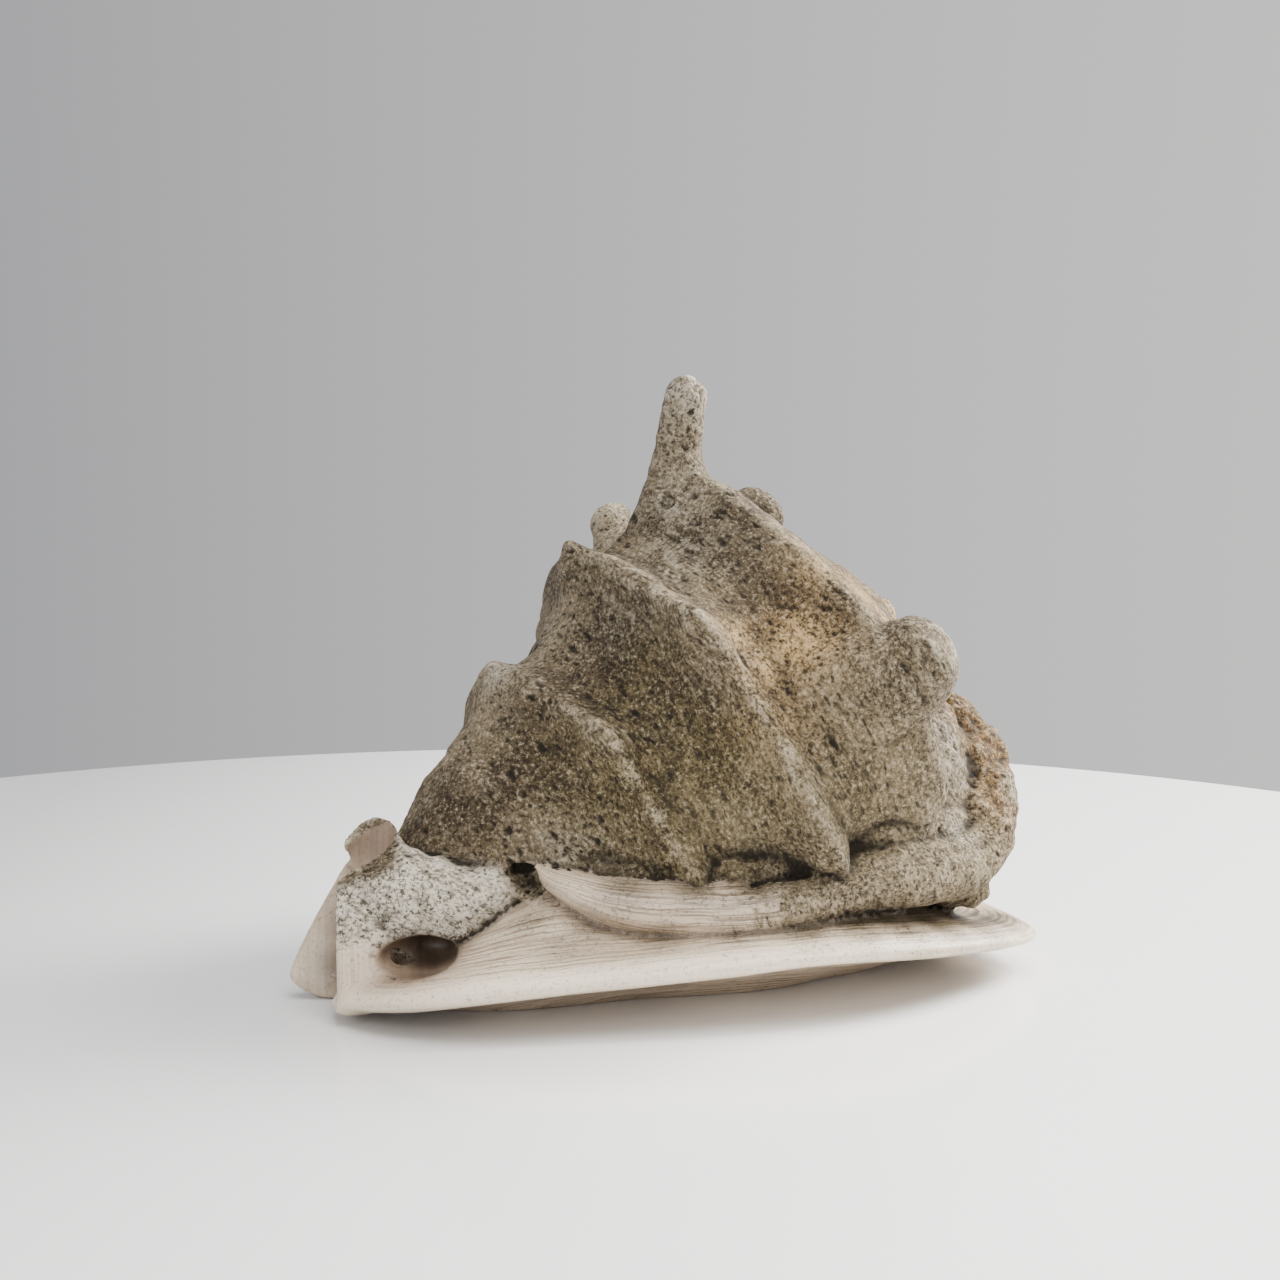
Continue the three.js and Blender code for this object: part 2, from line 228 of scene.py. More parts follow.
# The last whorl. Its outline, [along the axis, out from it], is carried round the axis while it grows. Cords
# [along, height, width] and shallow furrows run round it, knobs [angle, along, height, width] stand on the
# cords, and its lower near side flares out over the roll of the old lip.
WHORL_OUTLINE = [
    [0, 0], [-9, 15], [-22, 35], [-36, 55], [-49, 72], [-68, 75], [-88, 73], [-104, 71], [-120, 62],
    [-135, 55], [-148, 52], [-163, 45], [-180, 37], [-194, 30], [-206, 21], [-213, 11], [-216, 0],
]
CORDS = [[-50, 4, 8], [-76, -2.5, 11], [-102, 8, 6.5], [-126, -2.5, 9], [-148, 6.5, 6.5], [-182, 2, 7]]
KNOBS = [
    [2, -56, 9, 24], [-84, -46, 9, 24], [-118, -26, 7, 16],
    [4, -104, 6, 9], [-52, -102, 10, 12], [-114, -104, 6, 8], [60, -102, 8, 9], [112, -100, 7, 9],
    [6, -148, 2.5, 9], [-58, -144, 7, 10], [-110, -146, 6, 8], [62, -146, 6, 8],
    [-122, -62, 8, 8], [95, -56, 16, 14], [140, -56, 10, 12],
]
SEAM_DEG = 170.0
SEAM_BLEND_DEG = 26.0
SKIRT_DEG, SKIRT_ABOVE, SKIRT_BELOW = -114.0, 36.0, 16.0
SKIRT_HEIGHT, SKIRT_FORWARD = 0.3, 7.0


def whorl(rows, columns):
    """(u, v) -> angle SEAM - 360 (1 - u) round the axis and the outline's point at v, scaled by the growth at
    that angle, plus a hump for each cord and knob."""
    outline = through(WHORL_OUTLINE, np.linspace(0, 1, rows))
    degrees = SEAM_DEG - 360 * (1 - np.arange(columns) / columns)[None, :]
    closing = ease((degrees - (SEAM_DEG - SEAM_BLEND_DEG)) / SEAM_BLEND_DEG)
    size = GROWTH_PER_TURN ** (degrees / 360) * (1 - closing)
    size = size + closing * GROWTH_PER_TURN ** ((SEAM_DEG - 360) / 360)
    along, out = outline[:, :1], outline[:, 1:]
    away = degrees - SKIRT_DEG
    flare = bell(away, np.where(away > 0, SKIRT_ABOVE, SKIRT_BELOW))
    raised = sum(height * bell(along - place, width) for place, height, width in CORDS)
    raised = raised + np.zeros_like(degrees)
    for angle, place, height, width in KNOBS:
        apart = np.hypot(along - place, np.radians(degrees - angle) * out)
        raised = raised + height * bell(apart, width)
    fade = np.clip(out / 20, 0, 1)
    wide = (out * (1 + SKIRT_HEIGHT * flare * fade) + raised * fade) * size
    return round_axis(degrees + 0 * along, along * size - SKIRT_FORWARD * flare * fade, wide)


WEATHERED = (0.0, 0.0, 0.0)
surfaces.append(closed_surface(whorl(240, 420), WEATHERED))

# Horns and rods that stand on the whorl or lie against it, as points [x, y, z, radius, radius across].
UP, LENGTHWISE, CROSSWISE = np.array([0.0, 0, 1]), np.array([1.0, 0, 0]), np.array([0.0, 1, 0])
TOP_HORN = [
    [8, -36, 148, 28], [4, -37, 166, 20], [1.8, -38, 178, 12.6],
    [1.5, -39, 188, 9.3], [2.6, -40, 197, 8.3], [3.8, -41, 207.5, 7.4],
]
SIDE_HORN = [
    [22, -68, 94, 34, 30], [41, -94, 101, 27.5, 25], [55, -108, 107.5, 21.5, 19], [65, -112, 114, 16.5, 15],
]
BACK_HORN = [[-6, -6, 138, 22], [-11, 5, 154, 13.7], [-15, 9, 162, 9]]
SHOULDER_HORN = [[18, -46, 142, 26], [23, -50, 155, 18], [27, -51, 164, 11]]
for horn, up, white in (
    (TOP_HORN, LENGTHWISE, 0.1), (SIDE_HORN, UP, 0.0),
    (BACK_HORN, LENGTHWISE, 0.2), (SHOULDER_HORN, LENGTHWISE, 0.0),
):
    surfaces.append(closed_surface(rod(horn, 90, 96, up), (0.0, white, 0.0)))

# The roll of the older lip: porcelain at its left end, worn to chalk towards the right. It ends in a lobe.
OLD_LIP_ROWS, OLD_LIP_COLUMNS = 260, 64
OLD_LIP = [
    [-56, -92, 47, 1.5, 3], [-47, -99, 42, 5, 9], [-28, -104, 36, 8.5, 15], [0, -106, 34.5, 9.5, 17],
    [27, -106, 36.5, 9.5, 17], [52, -103, 42, 12, 16], [76, -96, 43, 12.5, 15], [91, -87, 43, 13, 13],
    [99, -81, 46, 12, 13], [105, -72, 54, 14], [109, -60, 64, 15], [110, -48, 76, 13.5],
    [104, -37, 89, 11], [92, -29, 100, 7],
]
OLD_LIP_LOBE = [[84, -72, 35, 10], [93, -81, 35, 10], [97.5, -84.5, 34, 8]]
old_lip = rod(OLD_LIP, OLD_LIP_ROWS, OLD_LIP_COLUMNS, UP)
# Here only wear: how far the roll is worn from porcelain to chalk towards the right.
wear_and_shade = ease((old_lip[..., :1] + 30) / 90)
across = 12.0 * np.linspace(0, 2 * np.pi, OLD_LIP_COLUMNS)[None, :, None] + 0 * wear_and_shade
surfaces.append(closed_surface(old_lip, np.concatenate([1 - wear_and_shade, 0 * wear_and_shade, across], 2)))
surfaces.append(closed_surface(rod(OLD_LIP_LOBE, 50, 60, UP), WEATHERED))

# The siphon canal: an upturned spout, and the two sheets that stand on either side of its open slot.
CANAL = [
    [-112.5, -68, 61, 10, 8.5], [-110, -71, 51, 11, 10], [-106.5, -73, 43, 14, 13.5],
    [-98, -76, 34, 17, 17], [-86, -77, 31, 16.5, 16.5], [-74, -77, 34, 13, 13], [-64, -74, 42, 10, 10],
]
surfaces.append(closed_surface(rod(CANAL, 120, 90, UP), (0.0, 1.0, 0.0)))
NEAR_WALL = [
    [-116, -74, 55, 7, 3], [-113, -79, 44, 9.5, 3.2], [-111, -85, 30, 11.5, 3.6],
    [-109, -93, 17, 14, 4], [-106, -99, 9, 18, 5],
]
near_wall = rod(NEAR_WALL, 100, 80, LENGTHWISE)
low = ease((32 - near_wall[..., 2:]) / 16)
surfaces.append(closed_surface(near_wall, np.concatenate([low, 1 - 0.4 * low, near_wall[..., :1]], 2)))
FAR_WALL = [
    [-108, -63, 46, 7, 3], [-112, -61, 40, 8.5, 3.5], [-115.5, -60, 32, 9.5, 3.8],
    [-119, -61, 24, 10.5, 4.2], [-123.5, -64, 13, 12, 5], [-126, -66, 5, 13, 5.5],
]
surfaces.append(closed_surface(rod(FAR_WALL, 100, 70, LENGTHWISE), (0.8, 0.3, 0.0)))


def ellipsoid(centre, radii, rows, columns):
    """(u, v) -> centre plus the radii times the point of the unit sphere at that turn and tilt."""
    tilt = np.linspace(0, np.pi, rows)[:, None]
    turn = -np.linspace(0, 2 * np.pi, columns + 1)[None, :-1]
    level = np.sin(tilt)
    unit = np.stack([level * np.cos(turn), level * np.sin(turn), np.cos(tilt) + 0 * turn], 2)
    return np.array(centre) + unit * radii


for centre, radii, rows, columns in (
    ((64, -42, 62), (49, 52, 52), 80, 120),  # the older whorl behind the roll
    ((82.5, -26, 127.5), (6.8, 7.5, 7.5), 40, 50),  # the stub of the spire
    ((5, -63, 34), (72, 44, 20), 60, 90),  # the root of the shield
):
    surfaces.append(closed_surface(ellipsoid(centre, radii, rows, columns), WEATHERED))

# The shield and outer lip: a rounded plate whose upper face climbs inwards and whose underside comes down to
# the floor. Each margin point is [x, y, z, half thickness, how far out the underside still touches].
BASE_ROWS, BASE_COLUMNS = 190, 520
BASE_CENTRE = np.array([-5.0, -45.0])
BASE_RIM = [
    [-124, -95, 5.5, 4, 0.75], [-118, -109, 8, 3.5, 0.65], [-104, -122, 11, 3.5, 0.6],
    [-78, -133, 15.5, 3.5, 0.5], [-40, -134, 18, 3.5, 0.45], [-2, -134, 20.5, 3.5, 0.45],
    [38, -132, 22.5, 3.5, 0.45], [68, -124, 21, 3.5, 0.45], [98, -106, 17.5, 3.5, 0.45],
    [122, -84, 14, 3.5, 0.5], [131, -58, 12, 4, 0.55], [124, -20, 11, 5, 0.65],
    [104, 12, 10, 6, 0.8], [70, 34, 9, 7, 0.86], [25, 46, 9, 8, 0.88], [-25, 44, 9, 8, 0.88],
    [-72, 24, 8, 7, 0.86], [-108, -14, 7, 6, 0.84], [-126, -44, 6, 5, 0.84], [-128, -64, 5, 4, 0.84],
    [-122, -78, 5, 4, 0.8],
]
SHIELD_RISE, LIP_RISE = 26.0, 66.0
CALLUS_X, CALLUS_Y, CALLUS_HEIGHT, CALLUS_WIDTH = -52.0, -90.0, 10.0, 22.0


def base(rows, columns):
    """(u, v) -> the margin's point at u drawn towards the middle by the cosine of the tilt at v; the upper
    face rises with the distance drawn in, and the lower one falls as its square."""
    edge = through(BASE_RIM, np.arange(columns) / columns, closed=True)[None]
    tilt = np.pi * (np.linspace(0, 1, rows)[:, None] - 0.5)
    share = np.clip(np.cos(tilt), 0, 1) ** 0.6
    ground = BASE_CENTRE + share[..., None] * (edge[..., :2] - BASE_CENTRE)
    lip = edge[..., 3] * np.minimum(1, 2.2 * np.abs(np.sin(tilt)))
    rise = SHIELD_RISE + (LIP_RISE - SHIELD_RISE) * ease((edge[..., 1] + 50) / 70)
    near = bell(np.hypot(ground[..., 0] - CALLUS_X, ground[..., 1] - CALLUS_Y), CALLUS_WIDTH)
    above = edge[..., 2] + lip + rise * (1 - share) + CALLUS_HEIGHT * near
    drop = np.minimum(1, (1 - share) / (1 - edge[..., 4])) ** 2
    below = (edge[..., 2] - lip) * (1 - drop) - 2 * drop
    return np.concatenate([ground, np.where(tilt < 0, above, below)[..., None]], axis=2)


tilt = np.pi * (np.linspace(0, 1, BASE_ROWS) - 0.5)
share = np.clip(np.cos(tilt), 0, 1)[:, None, None] ** 0.6 + np.zeros((BASE_ROWS, BASE_COLUMNS, 1))
base_finish = np.concatenate([1 + 0 * share, ease((share - 0.9) / 0.08), 90 * (1 - share)], 2)
surfaces.append(closed_surface(base(BASE_ROWS, BASE_COLUMNS), base_finish))

# The hollows: the slit of the mouth, the canal's channel, the pit beside the canal, the crevice between the
# whorl and the old lip, and the living chamber.
MOUTH = [
    [-112, -80, 4, 7, 26], [-92, -66, 6, 7, 26], [-56, -44, 10, 7, 30], [-10, -24, 12, 8, 32],
    [40, -10, 12, 8, 30], [80, -6, 10, 6, 22],
]
CHANNEL = [
    [-111, -68, 70, 7.5, 6], [-110.5, -69.5, 58, 8, 6.4], [-113, -70.5, 48, 10, 7.2],
    [-119, -72, 36, 13.5, 7], [-121, -76, 24, 15, 7.5], [-122, -79, 12, 16, 8], [-122, -80, 0, 17, 8.5],
    [-122, -80, -14, 16, 8],
]
RIM_PLANE_POINT = np.array([-111.0, -72.0, 52.0])
RIM_PLANE_FACING = np.array([-0.425, -0.46, 0.779])
PIT = [
    [-101, -118, 28, 13.5, 8], [-99, -107, 22.3, 13.5, 7.4], [-96, -97, 20.3, 13, 6.3],
    [-92, -88, 20, 10, 5], [-90, -83, 20, 6, 3.5],
]
CREVICE = [
    [-62, -84, 45, 3, 6], [-50, -95, 46, 1.4, 4], [-37.5, -102, 44.2, 1.0, 3], [-22, -108, 42.2, 0.9, 2.6],
    [-6.4, -112, 41, 0.9, 2.4], [1, -112.5, 39.6, 0.9, 2.4], [10, -112, 42.6, 0.9, 2.4],
    [23.6, -112, 44.8, 0.9, 2.4], [31, -112, 45.4, 1.0, 2.6], [38, -110, 43.8, 1.2, 3],
    [43.8, -109.5, 48.4, 1.0, 3], [52, -107, 50.4, 1.0, 3], [65.5, -103, 51.8, 1.0, 3],
    [79, -95, 49.6, 1.0, 3], [87, -87, 48.5, 1.2, 3],
]


CHAMBER_FROM_DEG, CHAMBER_TO_DEG = 166, -100


def chamber(rows, columns):
    """(u, v) -> a flattened ring, wider towards the spire, wound back from under the shell over its top."""
    v = np.linspace(0, 1, rows)[:, None]
    turn = 2 * np.pi * np.arange(columns)[None, :] / columns
    degrees = CHAMBER_FROM_DEG + (CHAMBER_TO_DEG - CHAMBER_FROM_DEG) * v
    size = GROWTH_PER_TURN ** (degrees / 360)
    wide = np.sin(np.pi * v) ** 0.35
    along = -96 + 55 * wide * np.cos(turn)
    out = 39 + 10 * wide * np.cos(turn) + 17 * wide * np.sin(turn)
    return round_axis(degrees + 0 * turn, along * size, out * size)


# Behind the crevice the shell is solid, and at the right an eave of the whorl closes down over the roll.
backing = np.array(CREVICE) + [0, 11, 0, 0, 0]
backing[:, 3:] = 8.5
surfaces.append(closed_surface(rod(backing, 160, 40, UP), WEATHERED))
EAVE = [[42, -101, 54, 5], [56, -101, 55.5, 7], [70, -97, 56, 8], [84, -88, 55, 8], [94, -78, 56, 7]]
surfaces.append(closed_surface(rod(EAVE, 90, 48, UP), WEATHERED))

hollows = [
    closed_surface(points, (polish, 0.0, 0.0))
    for points, polish in (
        (chamber(120, 60), 1), (rod(MOUTH, 120, 40, CROSSWISE), 1), (rod(CHANNEL, 80, 48, LENGTHWISE), 1),
        (rod(PIT, 50, 48, LENGTHWISE), 1), (rod(CREVICE, 160, 16, UP), 0),
        (ellipsoid((-60, -91, 41.5), (6, 9, 6), 24, 32), 0),  # where the crevice opens beside the canal
    )
]


def joined(parts, name):
    """One object from closed surfaces, each turned to face outwards, with its finish as attributes."""
    vertices = np.concatenate([part[0] for part in parts])
    offsets = np.cumsum([0] + [len(part[0]) for part in parts])
    faces = []
    for (points, quads, caps, _), offset in zip(parts, offsets):
        corners = points[quads]
        middle = points.mean(axis=0)
        normals = np.cross(corners[:, 2] - corners[:, 0], corners[:, 3] - corners[:, 1])
        inside_out = (normals * (corners.mean(axis=1) - middle)).sum() < 0
        for ring_faces in (quads, caps):
            faces += ((ring_faces[:, ::-1] if inside_out else ring_faces) + offset).tolist()
    mesh = bpy.data.meshes.new(name)
    mesh.from_pydata(vertices, [], faces)
    finish = np.concatenate([part[3] for part in parts])
    for k, label in enumerate(("polish", "white", "lines")):
        mesh.attributes.new(label, "FLOAT", "POINT").data.foreach_set("value", finish[:, k].copy())
    made = bpy.data.objects.new(name, mesh)
    bpy.context.collection.objects.link(made)
    return made


def remeshed(piece, voxel):
    """Replaces the mesh by one skin of even quads of that size round everything it encloses."""
    bpy.context.view_layer.objects.active = piece
    piece.select_set(True)
    piece.data.remesh_voxel_size = voxel
    piece.data.remesh_voxel_adaptivity = 0.0
    piece.data.use_remesh_preserve_attributes = True
    piece.data.use_remesh_fix_poles = False
    bpy.ops.object.voxel_remesh()


def baked(piece):
    """Makes the modifiers' result the mesh itself."""
    evaluated = piece.evaluated_get(bpy.context.evaluated_depsgraph_get())
    mesh = bpy.data.meshes.new_from_object(evaluated)
    piece.modifiers.clear()
    piece.data = mesh


COARSE_VOXEL, FINE_VOXEL = 1.3, 1.0
shell = joined(surfaces, "shell")
remeshed(shell, COARSE_VOXEL)
cutters = [joined([hollow], "hollow") for hollow in hollows]
BOX_FACES = [[0, 1, 3, 2], [4, 6, 7, 5], [0, 4, 5, 1], [2, 3, 7, 6], [0, 2, 6, 4], [1, 5, 7, 3]]
rim_facing = RIM_PLANE_FACING / np.linalg.norm(RIM_PLANE_FACING)
rim_along = np.cross(CROSSWISE, rim_facing)
rim_along /= np.linalg.norm(rim_along)
rim_across = np.cross(rim_facing, rim_along)
above_rim = np.array([[a, b, c] for a in (-40, 12) for b in (-25, 25) for c in (0, 40)])
above_rim = RIM_PLANE_POINT + above_rim @ np.array([rim_along, rim_across, rim_facing])
under_floor = np.array([[x, y, z] for x in (-200, 200) for y in (-200, 200) for z in (-40, 0)], dtype=float)
for name, corners in (("above the canal's rim", above_rim), ("under the floor", under_floor)):
    block = bpy.data.meshes.new(name)
    block.from_pydata(corners, [], BOX_FACES)
    cutters.append(bpy.data.objects.new(name, block))
    bpy.context.collection.objects.link(cutters[-1])
for cutter in cutters:
    cut = shell.modifiers.new("cut", "BOOLEAN")
    cut.operation = "DIFFERENCE"
    cut.solver = "MANIFOLD"
    cut.object = cutter
baked(shell)
for cutter in cutters:
    bpy.data.objects.remove(cutter)
remeshed(shell, FINE_VOXEL)


def read(piece, label=None):
    """The points of a mesh, or one of its attributes, as an array."""
    if label:
        values = np.empty(len(piece.data.vertices))
        piece.data.attributes[label].data.foreach_get("value", values)
        return values
    values = np.empty(3 * len(piece.data.vertices))
    piece.data.vertices.foreach_get("co", values)
    return values.reshape(-1, 3)


def edges_of(piece):
    """The two end points of each edge, as numbers."""
    ends = np.empty(2 * len(piece.data.edges), dtype=np.int64)
    piece.data.edges.foreach_get("vertices", ends)
    return ends.reshape(-1, 2)


def relaxed(values, edges, times, share=0.5):
    """Each value moved a share of the way to the mean of its neighbours, as many times as asked."""
    total = len(values)
    both = np.concatenate([edges, edges[:, ::-1]])
    degree = np.bincount(both[:, 0], minlength=total).astype(float)
    values = values.reshape(total, -1).copy()
    for _ in range(times):
        sums_round = [np.bincount(both[:, 0], column[both[:, 1]], total) for column in values.T]
        values += share * (np.stack(sums_round, 1) / degree[:, None] - values)
    return values


def rounded_off(piece, times):
    """The points of the mesh after so many rounds of moving each halfway to the mean of its neighbours."""
    soften = piece.modifiers.new("soften", "SMOOTH")
    soften.factor = 0.5
    soften.iterations = times
    evaluated = piece.evaluated_get(bpy.context.evaluated_depsgraph_get())
    values = np.empty(3 * len(evaluated.data.vertices))
    evaluated.data.vertices.foreach_get("co", values)
    piece.modifiers.remove(soften)
    return values.reshape(-1, 3)


def speckle(cells, seed):
    """A fixed pseudo-random number from 0 to 1 for each whole-numbered cell."""
    x, y, z = cells[..., 0], cells[..., 1], cells[..., 2]
    mixed = x * 73856093 ^ y * 19349663 ^ z * 83492791 ^ seed * 2654435761
    mixed = (mixed ^ (mixed >> 13)) * 1274126177 & 0x7FFFFFFF
    return ((mixed ^ (mixed >> 16)) & 0xFFFF) / 65535.0


def cloud(points, size, seed):
    """Smooth noise from -1 to 1: random numbers at the corners of cells of that size, blended between them
    by 3t^2 - 2t^3."""
    place = points / size
    cell = np.floor(place).astype(np.int64)
    t = place - cell
    t = t * t * (3 - 2 * t)
    total = np.zeros(len(points))
    for corner in range(8):
        step = np.array([corner & 1, corner >> 1 & 1, corner >> 2 & 1])
        total += np.prod(np.where(step, t, 1 - t), axis=1) * speckle(cell + step, seed)
    return 2 * total - 1


def hole_distance(points, size, seed):
    """The distance, in cells, to the nearest of the points scattered one to a cell, and that point's own
    random number."""
    place = points / size
    cell = np.floor(place).astype(np.int64)
    nearest = np.full(len(points), 9.0)
    number = np.zeros(len(points))
    for step in np.stack(np.meshgrid([-1, 0, 1], [-1, 0, 1], [-1, 0, 1]), -1).reshape(-1, 3):
        there = cell + step
        spot = there + np.stack([speckle(there, seed + k) for k in range(3)], 1)
        gap = np.linalg.norm(place - spot, axis=1)
        closer = gap < nearest
        nearest = np.where(closer, gap, nearest)
        number = np.where(closer, speckle(there, seed + 7), number)
    return nearest, number


# Weathering. The seams between the masses are rounded, then the chalky outside is roughened, ridged along the
# growth and pitted, while the porcelain of the lips keeps only fine growth lines.
edges = edges_of(shell)
points = rounded_off(shell, 4)
soft = bell(np.linalg.norm((points - [-104, -112, 15]) / [20, 14, 11], axis=1), 1.0)[:, None]
points += soft * (rounded_off(shell, 200) - points)
polish = np.clip(relaxed(read(shell, "polish"), edges, 5)[:, 0], 0, 1)
white = np.clip(relaxed(read(shell, "white"), edges, 12)[:, 0], 0, 1)
lines = relaxed(read(shell, "lines"), edges, 3)[:, 0]
on_floor = points[:, 2] < 0.6

from_apex = points - APEX
along = from_apex @ axis
height = from_apex @ dorsal
aside = from_apex @ far
turned = np.arctan2(aside, height)
grown = GROWTH_PER_TURN ** (turned / (2 * np.pi))
out = np.hypot(height, aside)
grain = np.stack([along / grown, turned * 60.0, out / grown], axis=1)


def patch(spots):
    """How far each point lies inside any of the round patches [x, y, z, radius, strength], from 0 to 1."""
    inside = np.zeros(len(points))
    for x, y, z, radius, strength in spots:
        inside = np.maximum(inside, strength * bell(np.linalg.norm(points - [x, y, z], axis=1), radius))
    return inside


# Where the old lip is broken, and where each colour lies: ochre stains, olive growth, umber growth that also
# serves as painted shade on the shaded side, bleached high spots, the pinkish inner layer darkened by painted
# shade in the channel and the pit, painted shade deep in the pit and the channel, and the dirt beside the
# roll.
BROKEN_LIP = [[113, -59, 84, 24, 1], [113, -74, 68, 20, 1], [103, -40, 92, 18, 1]]
broken = np.clip(1.6 * patch(BROKEN_LIP) - 0.3, 0, 1) * ease((points[:, 0] - 92) / 12)
ochre = patch([
    [16, -109, 113, 11, 0.75], [29, -107, 122, 14, 0.9], [9, -105, 123, 8, 0.8], [63, -74, 135, 16, 0.75],
    [51, -89, 138, 14, 0.6], [39, -95, 145, 12, 0.5], [113, -59, 84, 17, 1.0], [113, -74, 68, 13, 0.85],
    [84, -27, 128, 12, 0.9], [104, -50, 84, 12, 0.6], [20, -112, 96, 12, 0.5],
])
olive = patch([
    [-24, -104, 77, 28, 0.9], [-5, -106, 83, 24, 0.9], [13, -115, 71, 26, 0.6], [43, -118, 71, 26, 0.55],
    [-48, -89, 82, 22, 0.6], [-28, -90, 102, 18, 0.8], [61, -116, 77, 18, 0.4], [-22, -90, 115, 14, 0.8],
    [-5, -110, 60, 26, 0.7], [95, -95, 44, 22, 0.5],
])
# Umber blotches, laid mostly on the shaded side: partly the shell's own brown, partly painted shade.
umber_and_shade = patch([
    [-91, -68, 56, 16, 0.9], [-84, -70, 67, 20, 0.9], [-33, -75, 121, 18, 0.7], [25, -96, 139, 18, 0.8],
    [17, -72, 163, 14, 0.9], [-66, -80, 75, 18, 0.7], [-60, -92, 52, 12, 0.6], [30, -100, 132, 12, 0.6],
    [-50, -75, 104, 16, 0.9], [-22, -84, 135, 14, 0.5], [-60, -66, 92, 12, 0.8], [2, -50, 180, 11, 0.5],
])
bleached = patch([
    [76, -112, 118, 11, 1.0], [2, -42, 208, 8, 0.8], [-65, -55, 112, 9, 0.8], [-33, -86, 130, 12, 0.5],
    [-5, -60, 168, 11, 0.5], [88, -72, 76, 15, 0.8], [88, -92, 52, 9, 0.9], [-5, -70, 150, 14, 0.4],
    [118, -74, 66, 6, 1.0], [-50, -100, 48, 14, 0.4], [-54, -40, 128, 12, 0.5], [5, -106, 112, 9, 0.5],
])
# The pinkish inner layer round the canal and the pit, darkened deep in the channel and the pit as painted
# shade.
pink_layer_and_shade = patch([
    [-111, -70, 54, 12, 1.0], [-110, -68, 60, 12, 1.0], [-98, -101, 17, 15, 0.8], [-93, -88, 19, 10, 1.0],
    [-119, -72, 30, 12, 0.9],
])
soiled = patch([
    [-44, -112, 30, 8, 0.5], [-19, -118, 27, 7, 0.6], [4, -119, 26, 7, 0.7], [28, -119, 28, 9, 1.0],
    [46, -117, 28, 11, 1.0], [62, -113, 27, 13, 1.0], [78, -104, 26, 14, 1.0], [94, -92, 23, 14, 1.0],
    [106, -80, 20, 13, 1.0], [116, -70, 18, 11, 0.9], [-62, -104, 36, 9, 0.7], [-52, -118, 26, 7, 0.4],
    [-30, -110, 41, 9, 0.8], [-8, -114, 42, 8, 0.9], [12, -114, 43, 9, 1.0], [28, -113, 42, 10, 1.0],
    [-20, -114, 33, 7, 0.4], [2, -117, 34, 8, 0.5], [20, -116, 32, 9, 0.7], [-48, -108, 26, 8, 0.5],
])
# Painted shade deep in the pit beside the canal and in the canal's channel.
painted_pit_shade = patch([
    [-91, -90, 22, 11, 1.0], [-94, -99, 22, 9, 1.0], [-122, -73, 26, 7, 1.0], [-122, -76, 14, 8, 1.0],
])

shell.data.vertices.foreach_set("co", points.ravel())
shell.data.update()
normals = np.empty(3 * len(points))
shell.data.vertex_normals.foreach_get("vector", normals)
normals = normals.reshape(-1, 3)
rough = 1 - polish
drift = 1.4 * cloud(points, 7, 9)[:, None]
lumps = 0.9 * cloud(points, 17, 1) + 0.6 * cloud(grain, 7, 2) + 0.35 * cloud(grain * [1, 0.6, 1], 3.2, 3)
pit = np.zeros(len(points))
for size, stretch, few, deep, seed in ((4.2, 0.45, 0.74, 0.9, 20), (2.4, 0.5, 0.5, 0.7, 40)):
    gap, number = hole_distance(grain * [1, stretch, 1] + drift, size, seed)
    pit = np.maximum(pit, deep * ease((0.40 - gap) / 0.26) * (number > few))
crowded = 0.35 + 0.65 * ease(0.5 + cloud(points, 22, 31) + 0.6 * (umber_and_shade + 0.6 * olive - 0.4 * bleached))
pit *= crowded
strata = 0.22 * cloud(grain * [1, 0.1, 0.5], 2.6, 5)
moved = rough * (lumps + strata - 1.1 * pit) * (1 - 0.5 * white)
growth_lines = cloud(np.stack([lines, points[:, 0] * 0.03, lines * 0], 1), 2.2, 6)
moved += polish * (0.10 * growth_lines + 0.3 * cloud(points, 25, 8))
moved += broken * (2.2 * cloud(points, 9, 11) + 1.3 * cloud(points, 4.0, 12))
for x, y, z, radius, deep in ((4, -56, 171.5, 2.2, 2.0), (-5, -52, 169.5, 1.6, 1.3)):
    moved -= deep * bell(np.linalg.norm(points - [x, y, z], axis=1), radius)
ring_gap = np.linalg.norm(points - [-5, -52, 169.5], axis=1)
moved += 0.8 * bell(ring_gap - 4.2, 1.0) - 0.7 * bell(ring_gap - 2.6, 0.9)
moved[on_floor] = 0
points = points + normals * moved[:, None]
points[:, 2] = np.maximum(points[:, 2], 0)
shell.data.vertices.foreach_set("co", points.ravel())

# How far each point stands out from the broad form and from its close surroundings: the ridges are whitened
# as wear, and the hollows and pits are darkened as painted shade.
broad = ((points - rounded_off(shell, 160)) * normals).sum(axis=1)
close = ((points - rounded_off(shell, 8)) * normals).sum(axis=1)
wear_and_shade = np.clip(broad / 2.6, -1, 1) * 0.75 + np.clip(close / 0.3, -1, 1) * 0.35
for label, values in (
    ("polish", polish), ("ochre", ochre), ("white", white), ("wear_and_shade", wear_and_shade), ("pitted", pit * rough),
    ("olive", olive), ("umber_and_shade", umber_and_shade), ("bleached", bleached), ("pink_layer_and_shade", pink_layer_and_shade), ("painted_pit_shade", painted_pit_shade),
    ("soiled", soiled), ("broken", broken), ("lines", lines),
):
    if label not in shell.data.attributes:
        shell.data.attributes.new(label, "FLOAT", "POINT")
    shell.data.attributes[label].data.foreach_set("value", values.astype(np.float32))
shell.data.attributes.new("grain", "FLOAT_VECTOR", "POINT")
shell.data.attributes["grain"].data.foreach_set("vector", grain.astype(np.float32).ravel())

